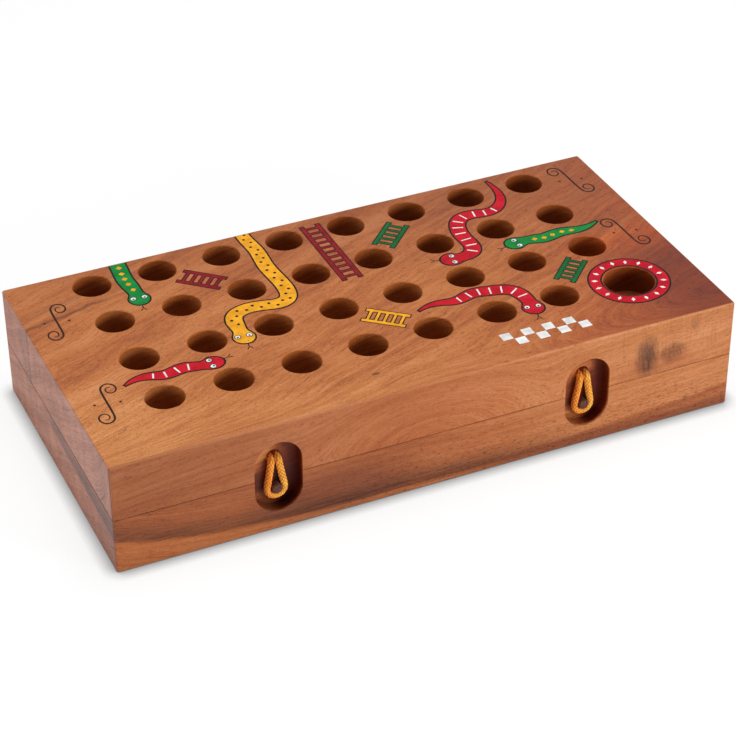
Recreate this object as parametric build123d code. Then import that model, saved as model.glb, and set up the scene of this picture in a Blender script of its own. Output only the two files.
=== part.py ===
from build123d import *
import math
import os

# Frame: origin at the middle of the underside of the shut box, +X along it, -Y to the front, +Z up.

# Whole box
box_length = 250.0
box_width = 125.0
corner_radius = 1.0
edge_radius = 0.7
parting_chamfer = 0.25

# Playing holes, drilled on one grid in both outer faces
hole_columns = 8
hole_rows = 4
hole_pitch_x = 26.6
hole_pitch_y = 27.0
hole_diameter = 15.0
hole_depth = 11.0
hole_rim_chamfer = 0.3
grid_shift_x = 0.6
back_row_inset = 11.5
finish_hole_diameter = 20.0
finish_shift_x = 2.5
finish_shift_y = -2.0

# Playing pieces kept inside
pawn_clearance = 0.5
pawn_headroom = 2.0
pawn_base_height = 13.0
pawn_shoulder = 0.8
pawn_neck_radius = 3.0
pawn_neck_rise = 7.0
pawn_neck_fullness = 0.22
pawn_head_radius = 5.5
pawn_pitch = 22.0
pawn_end_gap = 7.0
pawn_turns = {"red": 8.0, "yellow": -10.0, "green": 5.0, "blue": -6.0}
pawn_base_y = {"red": 22.0, "yellow": 12.0, "green": 26.0, "blue": 14.0}
die_side = 12.0
die_round = 1.4
pip_radius = 1.0
pip_depth = 0.5
pip_spacing = 3.0
die_y = -8.0
die_turn = 24.0

# Each half, from its playing face to the parting plane
floor_thickness = 4.0
pawn_radius = hole_diameter / 2 - pawn_clearance
pocket_depth = pawn_radius + pawn_headroom / 2
half_height = hole_depth + floor_thickness + pocket_depth
parting_z = half_height
box_height = 2 * half_height

# Recesses in the front face, each across the parting plane
recess_inset = 62.5
recess_width = 18.6
recess_height = 30.0
recess_depth = 5.0
wall_behind_recess = 6.0

# Storage pocket, routed alike in both halves
end_wall = 12.0
back_wall = 12.5
front_wall = recess_depth + wall_behind_recess
pocket_corner = 9.0

# Elastic loops and the pegs that hold them
cord_diameter = 2.5
cord_gap = 0.3
cord_hole_rise = 5.9
cord_hole_clearance = 0.1
cord_end_gap = 0.05
peg_drop = 7.0
peg_diameter = 4.0
peg_reach = 3.2
peg_tip_chamfer = 0.35
peg_seat_skin = 1.5
knot_radius = 3.6
knot_gap = 0.2
well_diameter = 12.0
well_wall = 4.0
well_headroom = 4.5

# Centre line of a loop where it shows, as (across, height) from the cord hole: down, round the peg and up
loop_points = [
    (-1.4, 0.0),
    (-3.66, -13.92),
    (-1.59, -16.35),
    (1.59, -16.35),
    (3.66, -13.92),
    (1.4, 0.0),
]

# Butt hinges, let into both parting faces at the back
hinge_inset = 50.0
hinge_length = 30.0
hinge_axis_outset = 0.25
knuckle_radius = 2.0
knuckle_count = 3
knuckle_gap = 0.2
barrel_clearance = 0.3
leaf_reach = 10.5
leaf_thickness = 1.0
leaf_gap = 0.1
mortise_clearance = 0.2
pin_radius = 1.0
pin_clearance = 0.04
pin_end_chamfer = 0.3

# Countersunk wood screws in the hinge leaves
screw_spacing = 18.0
screw_setback = 6.6
screw_length = 7.5
screw_shank_radius = 1.1
screw_head_radius = 2.1
screw_tip_length = 2.0
screw_tip_share = 0.25
screw_slot_width = 0.6
screw_slot_depth = 0.5
screw_clearance = 0.05

# Places worked out from the sizes above
front_y = -box_width / 2
back_y = box_width / 2
recess_wall_y = front_y + recess_depth
pocket_front_y = front_y + front_wall
pocket_back_y = back_y - back_wall
cord_radius = cord_diameter / 2
peg_radius = peg_diameter / 2
loop_y = recess_wall_y - cord_gap - cord_radius
cord_hole_z = parting_z + cord_hole_rise
peg_z = parting_z - peg_drop
strand_x = cord_radius + cord_gap / 2
cord_hole_radius = strand_x + cord_radius + cord_hole_clearance
well_y = recess_wall_y + well_wall + well_diameter / 2
well_top_z = cord_hole_z + well_headroom
knot_y = well_y - well_diameter / 2 + knot_gap + knot_radius
recess_x = box_length / 2 - recess_inset
hinge_x = box_length / 2 - hinge_inset
hinge_axis_y = back_y + hinge_axis_outset
knuckle_length = hinge_length / knuckle_count
screw_y = hinge_axis_y - screw_setback
pocket_floor_z = parting_z - pocket_depth
pawn_row_start = end_wall + pawn_end_gap + pawn_radius - box_length / 2
die_x = pawn_row_start + len(pawn_turns) * pawn_pitch
die_z = pocket_floor_z + die_side / 2
UP = 1
DOWN = -1
LEFT = -1
RIGHT = 1


def save(shape, name):
    """Writes one sub-part to its own file."""
    shape.label = name
    export_step(shape, f"parts/{name}.step")


def grid_places():
    """Centres of the playing holes, row by row from the back."""
    places = []
    for row in range(hole_rows):
        for column in range(hole_columns):
            x = grid_shift_x + (column - (hole_columns - 1) / 2) * hole_pitch_x
            y = back_y - back_row_inset - row * hole_pitch_y
            places.append((row, column, x, y))
    return places


def drilled_hole(x, y, diameter, side):
    """Cutter for one blind hole with an eased rim, in the lid's face (UP) or in the underside (DOWN)."""
    face_z = box_height if side == UP else 0.0
    radius = diameter / 2
    bore = Cylinder(radius, hole_depth, align=(Align.CENTER, Align.CENTER, Align.MAX))
    rim = Cone(
        radius,
        radius + hole_rim_chamfer,
        hole_rim_chamfer,
        align=(Align.CENTER, Align.CENTER, Align.MAX),
    )
    turn = 0 if side == UP else 180
    return Pos(x, y, face_z) * Rot(turn, 0, 0) * (bore + rim)


def playing_holes(side):
    """Cutters for all the holes of one face. The lid's last place is the wider finish hole."""
    cutters = []
    for row, column, x, y in grid_places():
        is_finish = side == UP and row == hole_rows - 1 and column == hole_columns - 1
        if is_finish:
            cutters.append(drilled_hole(x + finish_shift_x, y + finish_shift_y, finish_hole_diameter, side))
        else:
            cutters.append(drilled_hole(x, y, hole_diameter, side))
    return cutters


def half_block(side):
    """Solid block of one half, with rounded corners and eased edges."""
    block = Pos(0, 0, parting_z + side * half_height / 2) * Box(box_length, box_width, half_height)
    block = fillet(block.edges().filter_by(Axis.Z), corner_radius)
    outer = block.faces().sort_by(Axis.Z)[-1 if side == UP else 0]
    block = fillet(outer.edges(), edge_radius)
    inner = block.faces().sort_by(Axis.Z)[0 if side == UP else -1]
    return chamfer(inner.edges(), parting_chamfer)


def storage_pocket():
    """Cutter for the routed pocket, deep enough for both halves, about the parting plane."""
    length = box_length - 2 * end_wall
    width = pocket_back_y - pocket_front_y
    middle_y = (pocket_back_y + pocket_front_y) / 2
    outline = RectangleRounded(length, width, pocket_corner)
    floor = Plane(origin=(0, middle_y, pocket_floor_z))
    return extrude(floor * outline, 2 * pocket_depth)


def loop_recess(x):
    """Cutter for one upright recess with round ends in the front face."""
    outline = SlotOverall(recess_height, recess_width, rotation=90)
    face = Plane(origin=(x, front_y, parting_z), x_dir=(1, 0, 0), z_dir=(0, 1, 0))
    return extrude(face * outline, recess_depth)


def cord_hole(x):
    """Cutter for the hole that the loop's two strands leave by, and the well behind it for their knot."""
    depth = well_y - recess_wall_y
    bore = Pos(x, recess_wall_y + depth / 2, cord_hole_z) * Rot(90, 0, 0) * Cylinder(cord_hole_radius, depth)
    well_height = well_top_z - parting_z
    well = Pos(x, well_y, parting_z + well_height / 2) * Cylinder(well_diameter / 2, well_height)
    return bore + well


def peg_along_y(radius, length, start_y, x, z):
    """Round bar that runs back from start_y."""
    return Pos(x, start_y + length / 2, z) * Rot(90, 0, 0) * Cylinder(radius, length)


def loop_peg(x):
    """Short dowel glued into the lower half behind the recess, with an eased tip."""
    seat = wall_behind_recess - peg_seat_skin
    peg = peg_along_y(peg_radius, peg_reach + seat, recess_wall_y - peg_reach, x, peg_z)
    tip = peg.faces().sort_by(Axis.Y)[0]
    return chamfer(tip.edges(), peg_tip_chamfer)


def peg_seat(x):
    """Cutter for the peg's blind hole."""
    return peg_along_y(peg_radius, wall_behind_recess - peg_seat_skin, recess_wall_y, x, peg_z)


def knuckle_is_lower(index):
    """The lower leaf has the outer knuckles and every second one between."""
    return index % 2 == 0


def knuckle_bar(x, index, radius, trim):
    """Round bar over one knuckle's stretch of the barrel."""
    middle = x + (index - (knuckle_count - 1) / 2) * knuckle_length
    bar = Cylinder(radius, knuckle_length - trim)
    return Pos(middle, hinge_axis_y, parting_z) * Rot(0, 90, 0) * bar


def leaf_plate(x, side, front, back):
    """Flat stretch of one leaf between two distances from the hinge's axis, over the whole hinge's length."""
    width = back - front
    middle_y = hinge_axis_y - (front + back) / 2
    middle_z = parting_z + side * (leaf_gap + leaf_thickness) / 2
    return Pos(x, middle_y, middle_z) * Box(hinge_length, width, leaf_thickness)


def screw_places(x):
    """The two screws of one leaf."""
    return [(x + end * screw_spacing / 2, screw_y) for end in (LEFT, RIGHT)]


def screw_body(side, grow):
    """Countersunk screw with its head's face on the leaf's inner face, or its hole if grow isn't zero."""
    shank = screw_shank_radius + grow
    head = screw_head_radius + grow
    cone_height = screw_head_radius - screw_shank_radius
    reach = screw_length + grow
    bevel = Cone(shank, head, cone_height, align=(Align.CENTER, Align.CENTER, Align.MAX))
    straight = reach - cone_height - screw_tip_length
    bar = Pos(0, 0, -cone_height) * Cylinder(shank, straight, align=(Align.CENTER, Align.CENTER, Align.MAX))
    tip_top = -cone_height - straight
    tip = Pos(0, 0, tip_top) * Cone(
        shank * screw_tip_share, shank, screw_tip_length, align=(Align.CENTER, Align.CENTER, Align.MAX)
    )
    turn = 0 if side == DOWN else 180
    return Rot(turn, 0, 0) * (bevel + bar + tip)


def screw_head_z(side):
    """Height of the leaf's inner face, where the screw heads lie flush."""
    return parting_z + side * leaf_gap / 2


def screw_holes(x, side):
    """Cutters for one leaf's screws, used on the leaf and on the wood behind it."""
    z = screw_head_z(side)
    return [Pos(sx, sy, z) * screw_body(side, screw_clearance) for sx, sy in screw_places(x)]


def hinge_screws(side):
    """All the screws of both hinges in one half, each a separate solid."""
    slot = Box(2 * screw_head_radius, screw_slot_width, 2 * screw_slot_depth)
    z = screw_head_z(side)
    screws = []
    for end in (LEFT, RIGHT):
        for sx, sy in screw_places(end * hinge_x):
            screws.append(Pos(sx, sy, z) * (screw_body(side, 0) - slot))
    return Compound(children=screws)


def hinge_leaf(x, side):
    """One leaf with its knuckles, bored for the pin and countersunk for its screws."""
    clear_of_barrel = knuckle_radius + knuckle_gap
    leaf = leaf_plate(x, side, clear_of_barrel, leaf_reach)
    web = leaf_plate(x, side, 0, clear_of_barrel)
    bore_radius = pin_radius + pin_clearance
    for index in range(knuckle_count):
        if knuckle_is_lower(index) == (side == DOWN):
            stretch = knuckle_bar(x, index, 2 * knuckle_radius, knuckle_gap)
            leaf += knuckle_bar(x, index, knuckle_radius, knuckle_gap)
            leaf += web & stretch
    for index in range(knuckle_count):
        leaf -= knuckle_bar(x, index, bore_radius, 0)
    return leaf - screw_holes(x, side)


def hinge_pin(x):
    """Plain pin through all the knuckles, eased at both ends."""
    pin = Pos(x, hinge_axis_y, parting_z) * Rot(0, 90, 0) * Cylinder(pin_radius, hinge_length)
    return chamfer(pin.edges().filter_by(GeomType.CIRCLE), pin_end_chamfer)


def hinge_seat(x, side):
    """Cutters for the leaf's mortise, the notch round the barrel and the screws' pilot holes."""
    length = hinge_length + 2 * mortise_clearance
    reach = leaf_reach + mortise_clearance
    depth = leaf_gap / 2 + leaf_thickness
    mortise = Pos(x, hinge_axis_y - reach / 2, parting_z) * Box(length, reach, 2 * depth)
    barrel = Cylinder(knuckle_radius + barrel_clearance, length)
    notch = Pos(x, hinge_axis_y, parting_z) * Rot(0, 90, 0) * barrel
    return [mortise, notch] + screw_holes(x, side)


def wooden_half(side):
    """One half of the box with all that is drilled, routed and let into it."""
    cutters = playing_holes(side)
    cutters.append(storage_pocket())
    for end in (LEFT, RIGHT):
        x = end * recess_x
        cutters.append(loop_recess(x))
        cutters.append(cord_hole(x) if side == UP else peg_seat(x))
        cutters += hinge_seat(end * hinge_x, side)
    return half_block(side) - cutters


def tube_radii(points):
    """Arc radius at each corner: 0.45 of the shorter run beside it, over the tangent of half the turn."""
    radii = []
    for before, at, after in zip(points, points[1:], points[2:]):
        into = at - before
        out = after - at
        half_turn = math.radians(into.get_angle(out)) / 2
        radii.append(0.45 * min(into.length, out.length) / math.tan(half_turn))
    return radii


def elastic_loop(x, name):
    """The part of the cord that shows: a tube from the hole, round the peg and back, with round ends."""
    points = [Vector(x + across, loop_y, cord_hole_z + height) for across, height in loop_points]
    radii = tube_radii(points)
    path = FilletPolyline(*points, radius=radii)
    section = Plane(origin=path @ 0, z_dir=path % 0) * Circle(cord_radius)
    tube = sweep(section, path=path)
    expected = math.pi * cord_radius**2 * path.length
    print(name, "radii", [round(r, 2) for r in radii], "length", round(path.length, 2))
    print(name, "volume over section times length", round(tube.volume / expected, 4))
    ends = [Pos(*points[0]) * Sphere(cord_radius), Pos(*points[-1]) * Sphere(cord_radius)]
    return tube + ends


def loop_knot(x):
    """The cord's two tails through the lid's wall and the knot that holds them, in the well."""
    tail_front = loop_y + cord_radius + cord_end_gap
    length = knot_y - tail_front
    knot = Pos(x, knot_y, cord_hole_z) * Sphere(knot_radius)
    for end in (LEFT, RIGHT):
        knot += peg_along_y(cord_radius, length, tail_front, x + end * strand_x, cord_hole_z)
    return knot


def pawn():
    """Turned playing piece, standing on its base: a peg for the holes, a neck and a ball."""
    head_z = pawn_base_height + pawn_neck_rise + pawn_head_radius
    neck_z = head_z - math.sqrt(pawn_head_radius**2 - pawn_neck_radius**2)
    flare = pawn_radius - 2 * pawn_shoulder
    with BuildPart() as piece:
        with BuildSketch(Plane.XZ):
            with BuildLine():
                Polyline(
                    (0, 0),
                    (pawn_radius - pawn_shoulder, 0),
                    (pawn_radius, pawn_shoulder),
                    (pawn_radius, pawn_base_height - pawn_shoulder),
                    (pawn_radius - pawn_shoulder, pawn_base_height),
                    (flare, pawn_base_height),
                )
                neck_middle = (
                    pawn_neck_radius + pawn_neck_fullness * (flare - pawn_neck_radius),
                    (pawn_base_height + neck_z) / 2,
                )
                ThreePointArc((flare, pawn_base_height), neck_middle, (pawn_neck_radius, neck_z))
                ThreePointArc(
                    (pawn_neck_radius, neck_z),
                    (pawn_head_radius, head_z),
                    (0, head_z + pawn_head_radius),
                )
                Line((0, head_z + pawn_head_radius), (0, 0))
            make_face()
        revolve(axis=Axis.Z)
    return piece.part


def die_pips():
    """Cutters for the pips, as shallow dimples, with opposite faces adding up to seven."""
    s = pip_spacing
    layouts = {
        1: [(0, 0)],
        2: [(-s, -s), (s, s)],
        3: [(-s, -s), (0, 0), (s, s)],
        4: [(-s, -s), (-s, s), (s, -s), (s, s)],
        5: [(-s, -s), (-s, s), (0, 0), (s, -s), (s, s)],
        6: [(-s, -s), (-s, 0), (-s, s), (s, -s), (s, 0), (s, s)],
    }
    turns = {1: (0, 0, 0), 6: (180, 0, 0), 2: (90, 0, 0), 5: (-90, 0, 0), 3: (0, 90, 0), 4: (0, -90, 0)}
    ball_radius = (pip_radius**2 + pip_depth**2) / (2 * pip_depth)
    ball_z = die_side / 2 + ball_radius - pip_depth
    pips = []
    for number, places in layouts.items():
        for px, py in places:
            pips.append(Rot(*turns[number]) * Pos(px, py, ball_z) * Sphere(ball_radius))
    return pips


def die():
    """Die with rounded edges and dimpled pips, about its own centre."""
    cube = Box(die_side, die_side, die_side)
    cube = fillet(cube.edges(), die_round)
    return cube - die_pips()


def lying_pawn(x, y, turn):
    """A pawn on its side on the lower pocket's floor, its base towards the back and turned a little."""
    return Pos(x, y, pocket_floor_z + pawn_radius) * Rot(0, 0, turn) * Rot(90, 0, 0) * pawn()


os.makedirs("parts", exist_ok=True)

# The two halves of the box
save(wooden_half(DOWN), "lower_half")
save(wooden_half(UP), "lid_half")

# The hinges
for end, side_name in ((LEFT, "left"), (RIGHT, "right")):
    save(hinge_leaf(end * hinge_x, DOWN), f"{side_name}_hinge_lower_leaf")
    save(hinge_leaf(end * hinge_x, UP), f"{side_name}_hinge_lid_leaf")
    save(hinge_pin(end * hinge_x), f"{side_name}_hinge_pin")
save(hinge_screws(DOWN), "lower_hinge_screws")
save(hinge_screws(UP), "lid_hinge_screws")

# The closures
for end, side_name in ((LEFT, "left"), (RIGHT, "right")):
    save(elastic_loop(end * recess_x, f"{side_name}_loop"), f"{side_name}_loop")
    save(loop_knot(end * recess_x), f"{side_name}_loop_knot")
    save(loop_peg(end * recess_x), f"{side_name}_loop_peg")

# The playing pieces, loose in the lower half's pocket
for index, colour in enumerate(pawn_turns):
    pawn_x = pawn_row_start + index * pawn_pitch
    save(lying_pawn(pawn_x, pawn_base_y[colour], pawn_turns[colour]), f"{colour}_pawn")
save(Pos(die_x, die_y, die_z) * Rot(0, 0, die_turn) * die(), "die")
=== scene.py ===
from functools import reduce
from math import acos, ceil, copysign, cos, pi, radians, sin, sqrt

import bmesh
import bpy
from mathutils import Matrix, Vector


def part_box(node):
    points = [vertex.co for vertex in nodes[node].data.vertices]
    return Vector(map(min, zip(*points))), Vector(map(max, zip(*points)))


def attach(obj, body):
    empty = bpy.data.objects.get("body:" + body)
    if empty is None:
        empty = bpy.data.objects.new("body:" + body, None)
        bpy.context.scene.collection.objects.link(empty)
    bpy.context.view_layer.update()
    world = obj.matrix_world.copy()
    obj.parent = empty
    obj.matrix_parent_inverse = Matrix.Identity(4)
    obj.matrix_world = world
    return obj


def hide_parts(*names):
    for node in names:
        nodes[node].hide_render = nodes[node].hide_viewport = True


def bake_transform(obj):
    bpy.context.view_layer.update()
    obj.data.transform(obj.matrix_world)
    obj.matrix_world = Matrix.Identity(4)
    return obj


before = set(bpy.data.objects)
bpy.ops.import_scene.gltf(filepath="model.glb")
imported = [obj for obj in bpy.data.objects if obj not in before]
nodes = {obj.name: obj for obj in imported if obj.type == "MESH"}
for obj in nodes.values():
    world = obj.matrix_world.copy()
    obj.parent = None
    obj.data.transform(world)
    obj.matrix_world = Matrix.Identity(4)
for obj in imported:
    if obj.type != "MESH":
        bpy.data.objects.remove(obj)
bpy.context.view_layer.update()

# Sizes of the box, in metres
MM = 0.001
lid_low, lid_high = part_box("lid_half")
BOX_HEIGHT = lid_high.z
PARTING_Z = lid_low.z
FRONT_Y = lid_low.y
RECESS_DEPTH = 5 * MM
RECESS_WALL_Y = FRONT_Y + RECESS_DEPTH

# Sizes of the box in millimetres, for the materials and the prints
END = lid_high.x / MM
FRONT = FRONT_Y / MM
BACK = lid_high.y / MM
TOP = BOX_HEIGHT / MM
PARTING = PARTING_Z / MM
LOOP_X = sum(corner.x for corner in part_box("right_loop")) / 2 / MM
RECESS_HALF_WIDTH = 9.3
RECESS_HALF_HEIGHT = 15
HOLE_DEPTH = 11

# Elastic loops, in metres
CORD_DIAMETER = 2.5 * MM
CORD_RADIUS = CORD_DIAMETER / 2
CORD_HOLE_Z = PARTING_Z + 5.9 * MM
STRAND_ACROSS = 1.3 * MM
BRAID_BUMPS = 6
BRAID_PITCH = 1.7 * MM
BRAID_HEIGHT = 0.10
TUBE_SIDES = 48
TUBE_STEP = 0.16 * MM
# Painted shade on the cord where it goes into its hole: full up to the start, then fading out
HOLE_SHADE_START = 2.2 * MM
HOLE_SHADE_FADE = 2.2 * MM

# Share of the cord's radius left where it is drawn tight
DRAWN_AT_PEG = 0.92
DRAWN_IN_WALL = 0.96
DRAWN_IN_KNOT = 0.92

# Knot behind a recess wall, in metres
KNOT_Y = RECESS_WALL_Y + 8.6 * MM
KNOT_REACH = 0.88 * MM
KNOT_THICK = 1.35 * MM
KNOT_STEPS = 96
KNOT_OPEN = 0.03

# Route of a loop as (across, in front of the recess wall, height) from the cord hole, in millimetres
LOOP_ROUTE = [
    (-1.3, -3.3, 0), (-1.3, 1.55, 0), (-1.7, 1.55, -3),
    (-2.85, 1.55, -9.5), (-3.62, 1.55, -13.92), (-1.59, 1.55, -16.3),
    (1.59, 1.55, -16.3), (3.62, 1.55, -13.92), (2.85, 1.55, -9.5),
    (1.7, 1.55, -3), (1.3, 1.55, 0), (1.3, -3.3, 0),
]

# Camera, fitted to the photograph
CAMERA_PLACE = Vector((-0.3040, -0.6834, 0.5277))
CAMERA_RIGHT = Vector((0.9117, -0.4108, -0.0061))
CAMERA_FORWARD = Vector((0.33525, 0.75249, -0.56689))
SENSOR_MM = 36
LENS_MM = 114.37


def new_object(name, data):
    """A new object in the scene for a mesh, a camera or a light."""
    new = bpy.data.objects.new(name, data)
    bpy.context.scene.collection.objects.link(new)
    return new


def make_camera():
    """The photograph's view."""
    data = bpy.data.cameras.new("camera")
    data.sensor_width = SENSOR_MM
    data.lens = LENS_MM
    data.clip_start = 0.01
    data.clip_end = 50
    camera = new_object("camera", data)
    back = -CAMERA_FORWARD.normalized()
    right = CAMERA_RIGHT.normalized()
    up = back.cross(right).normalized()
    right = up.cross(back)
    turn = Matrix((right, up, back)).transposed().to_4x4()
    camera.matrix_world = Matrix.Translation(CAMERA_PLACE) @ turn
    bpy.context.scene.camera = camera


def mesh_piece(name, points, faces, material, smooth=True):
    """A mesh object from points in metres and faces."""
    mesh = bpy.data.meshes.new(name)
    mesh.from_pydata([tuple(p) for p in points], [], faces)
    mesh.validate()
    for polygon in mesh.polygons:
        polygon.use_smooth = smooth
    mesh.materials.append(material)
    return new_object(name, mesh)


def dress(node, material):
    """Gives a CAD node one material."""
    slots = nodes[node].data.materials
    slots.clear()
    slots.append(material)


# Node trees


class Value:
    """One number in a node tree, with arithmetic that adds the nodes it needs."""

    def __init__(self, owner, socket):
        self.owner = owner
        self.socket = socket

    def math(self, operation, *others):
        return self.owner.math(operation, self, *others)

    def __add__(self, other):
        return self.math("ADD", other)

    def __sub__(self, other):
        return self.math("SUBTRACT", other)

    def __rsub__(self, other):
        return self.owner.math("SUBTRACT", other, self)

    def __mul__(self, other):
        return self.math("MULTIPLY", other)

    def __truediv__(self, number):
        return self * (1 / number)

    def __abs__(self):
        return self.math("ABSOLUTE")

    __radd__ = __add__
    __rmul__ = __mul__

    def scaled(self, low, high, to_low, to_high, shape="LINEAR"):
        """The stretch from low to high moved to another one, and cut off outside it."""
        inputs = {"Value": self, "From Min": low, "From Max": high, "To Min": to_low, "To Max": to_high}
        return self.owner.value("MapRange", 0, inputs, interpolation_type=shape)

    def step(self, low, high):
        """0 at low and before it, 1 at high and after it, smooth between. High may be under low."""
        if low > high:
            return self.scaled(high, low, 1, 0, "SMOOTHSTEP")
        return self.scaled(low, high, 0, 1, "SMOOTHSTEP")


def larger(*values):
    """The largest of some values."""
    return reduce(lambda a, b: a.math("MAXIMUM", b), values)


def smaller(*values):
    """The smallest of some values."""
    return reduce(lambda a, b: a.math("MINIMUM", b), values)


def oval(parts, centre, radii, soft=0.95):
    """1 inside an oval, 0 outside, soft over a share of its size. None leaves an axis out."""
    offs = [(part - middle) / radius for part, middle, radius in zip(parts, centre, radii) if radius]
    return sum(off * off for off in offs).step(1 + soft, 1 - soft)


class Nodes:
    """A node tree, with short ways to add its nodes and join them."""

    def __init__(self, tree):
        self.tree = tree

    def add(self, kind, inputs=None, **settings):
        """A new shader node of a kind, with what feeds its inputs by name or number."""
        node = self.tree.nodes.new(f"ShaderNode{kind}")
        for key, value in settings.items():
            setattr(node, key, value)
        for key, source in (inputs or {}).items():
            self.feed(node.inputs[key], source)
        return node

    def feed(self, socket, source):
        """Sets a socket to a number or a colour, or joins it to a value or another socket."""
        if isinstance(source, Value):
            source = source.socket
        if isinstance(source, bpy.types.NodeSocket):
            self.tree.links.new(source, socket)
        elif isinstance(source, tuple):
            socket.default_value = (*source, 1)
        else:
            socket.default_value = source

    def value(self, kind, output, inputs=None, **settings):
        """One output of a new node, to calculate with."""
        return Value(self, self.add(kind, inputs, **settings).outputs[output])

    def math(self, operation, *values):
        return self.value("Math", 0, dict(enumerate(values)), operation=operation)

    def rays(self, *kinds):
        """1 for rays of some kinds."""
        seen = self.add("LightPath").outputs
        return larger(*[Value(self, seen[f"Is {kind} Ray"]) for kind in kinds])


class Shader(Nodes):
    """One material. Its parts are the place's x, y and z, in millimetres."""

    def __init__(self, name, roughness=0.5, metallic=0):
        self.material = bpy.data.materials.new(name)
        self.material.use_nodes = True
        super().__init__(self.material.node_tree)
        self.surface = self.tree.nodes["Principled BSDF"]
        self.finish({"Roughness": roughness, "Metallic": metallic})
        place = self.add("TexCoord").outputs["Object"]
        metres = self.add("SeparateXYZ", {0: place}).outputs
        self.parts = [Value(self, socket) / MM for socket in metres]

    def noise(self, place, scale, detail=2, roughness=0.5):
        """Noise at a place with three parts, or along one value."""
        inputs = {"Scale": scale, "Detail": detail, "Roughness": roughness}
        if isinstance(place, Value):
            return self.value("TexNoise", 0, {"W": place, **inputs}, noise_dimensions="1D")
        vector = self.add("CombineXYZ", dict(enumerate(place))).outputs[0]
        return self.value("TexNoise", 0, {"Vector": vector, **inputs})

    def ramp(self, value, stops):
        """The colour at a value, from stops as (value, colour)."""
        node = self.add("ValToRGB", {0: value})
        elements = node.color_ramp.elements
        while len(elements) < len(stops):
            elements.new(0.5)
        for element, (at, colour) in zip(elements, stops):
            element.position = at
            element.color = (*colour, 1)
        return node.outputs["Color"]

    def mix(self, factor, first, second, blend="MIX"):
        """Two colours mixed, from a mix node's inputs 6 and 7 to its output 2."""
        inputs = {0: factor, 6: first, 7: second}
        return self.add("Mix", inputs, data_type="RGBA", blend_type=blend).outputs[2]

    def tint(self, factor, colour, by):
        """The colour multiplied by another where factor is 1."""
        return self.mix(factor, colour, by, "MULTIPLY")

    def bump(self, height, distance, strength=1):
        """A normal for fine relief, with its height in millimetres."""
        inputs = {"Height": height, "Distance": distance * MM, "Strength": strength}
        return self.add("Bump", inputs).outputs["Normal"]

    def finish(self, inputs):
        """Feeds the surface's inputs and gives the material."""
        for name, source in inputs.items():
            self.feed(self.surface.inputs[name], source)
        return self.material


def shade(colour, share, lift=0):
    """A colour times a share, a little lifted."""
    return tuple(min(1, part * share + lift) for part in colour)


def across_recess(x):
    """How far to the right of the nearer recess's middle line a place is."""
    return x - x.math("SIGN") * LOOP_X


# Elastic cord

# Colour by braid height: painted shade in the gaps between the bumps, painted highlights on their tops
CORD_STOPS = [
    (0.24, (0.42, 0.060, 0.004)),
    (0.46, (0.80, 0.220, 0.007)),
    (0.66, (0.93, 0.380, 0.016)),
    (0.92, (1.00, 0.720, 0.170)),
]
# Painted shade: the left strand of each loop is tinted a deeper orange
STRAND_SHADE = (0.97, 0.69, 0.44)
# Tint of the painted shade where the cord goes into its hole
HOLE_SHADE_TINT = (0.55, 0.16, 0.12)


def cord_surface():
    """Braided elastic: yellow yarn with painted shade between its bumps and painted highlights on their
    tops, and painted shade on the left strand and where it goes into the hole.
    """
    shader = Shader("elastic_braid")
    height = shader.value("Attribute", "Fac", attribute_name="braid")
    # near_hole holds the painted shade where the cord goes into its hole
    painted_shade = shader.value("Attribute", "Fac", attribute_name="near_hole")
    fuzz = shader.noise(shader.parts, 2.6, 3, 0.6)
    patches = shader.noise(shader.parts, 0.32)
    colour = shader.ramp(height * 0.60 + fuzz * 0.16 + patches * 0.40, CORD_STOPS)
    # The left strand tinted deeper orange as painted shade
    shaded_left_strand = across_recess(shader.parts[0]).step(2.5, -3.5)
    colour = shader.tint(shaded_left_strand, colour, STRAND_SHADE)
    return shader.finish({
        "Base Color": shader.tint(painted_shade, colour, HOLE_SHADE_TINT),
        "Roughness": 0.78,
        "Normal": shader.bump(fuzz, 0.12, 0.5),
        "Sheen Weight": 0.1,
        "Sheen Roughness": 0.4,
    })


def smooth_points(route, order=3):
    """Points along a NURBS spline with the route as its control points."""
    curve = bpy.data.curves.new("route", "CURVE")
    curve.dimensions = "3D"
    spline = curve.splines.new("NURBS")
    spline.points.add(len(route) - 1)
    for point, place in zip(spline.points, route):
        point.co = (*place, 1)
    spline.order_u = order
    spline.use_endpoint_u = True
    spline.resolution_u = 24
    holder = bpy.data.objects.new("route", curve)
    mesh = bpy.data.meshes.new_from_object(holder)
    points = [v.co.copy() for v in mesh.vertices]
    bpy.data.objects.remove(holder)
    bpy.data.meshes.remove(mesh)
    bpy.data.curves.remove(curve)
    return points


def evenly(points, spacing):
    """The same line with points about spacing apart, and its length."""
    along = [0]
    for a, b in zip(points, points[1:]):
        along.append(along[-1] + (b - a).length)
    count = max(2, ceil(along[-1] / spacing) + 1)
    result = []
    index = 0
    for i in range(count):
        at = along[-1] * i / (count - 1)
        while index < len(points) - 2 and along[index + 1] < at:
            index += 1
        stretch = along[index + 1] - along[index]
        share = (at - along[index]) / stretch if stretch > 0 else 0
        result.append(points[index].lerp(points[index + 1], share))
    return result, along[-1]


def braid_height(angle, along):
    """Height of the braid's bumps, 0 to 1, at an angle round the cord and a distance along it."""
    turn = pi * along / BRAID_PITCH
    around = BRAID_BUMPS / 2 * angle
    return sqrt(abs(cos(around + turn) * cos(around - turn)))


def tube_faces(rings, sides):
    """Faces between the rings of a tube."""
    faces = []
    for i in range(rings - 1):
        for k in range(sides):
            a = i * sides + k
            b = i * sides + (k + 1) % sides
            faces.append((a, b, b + sides, a + sides))
    return faces


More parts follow.
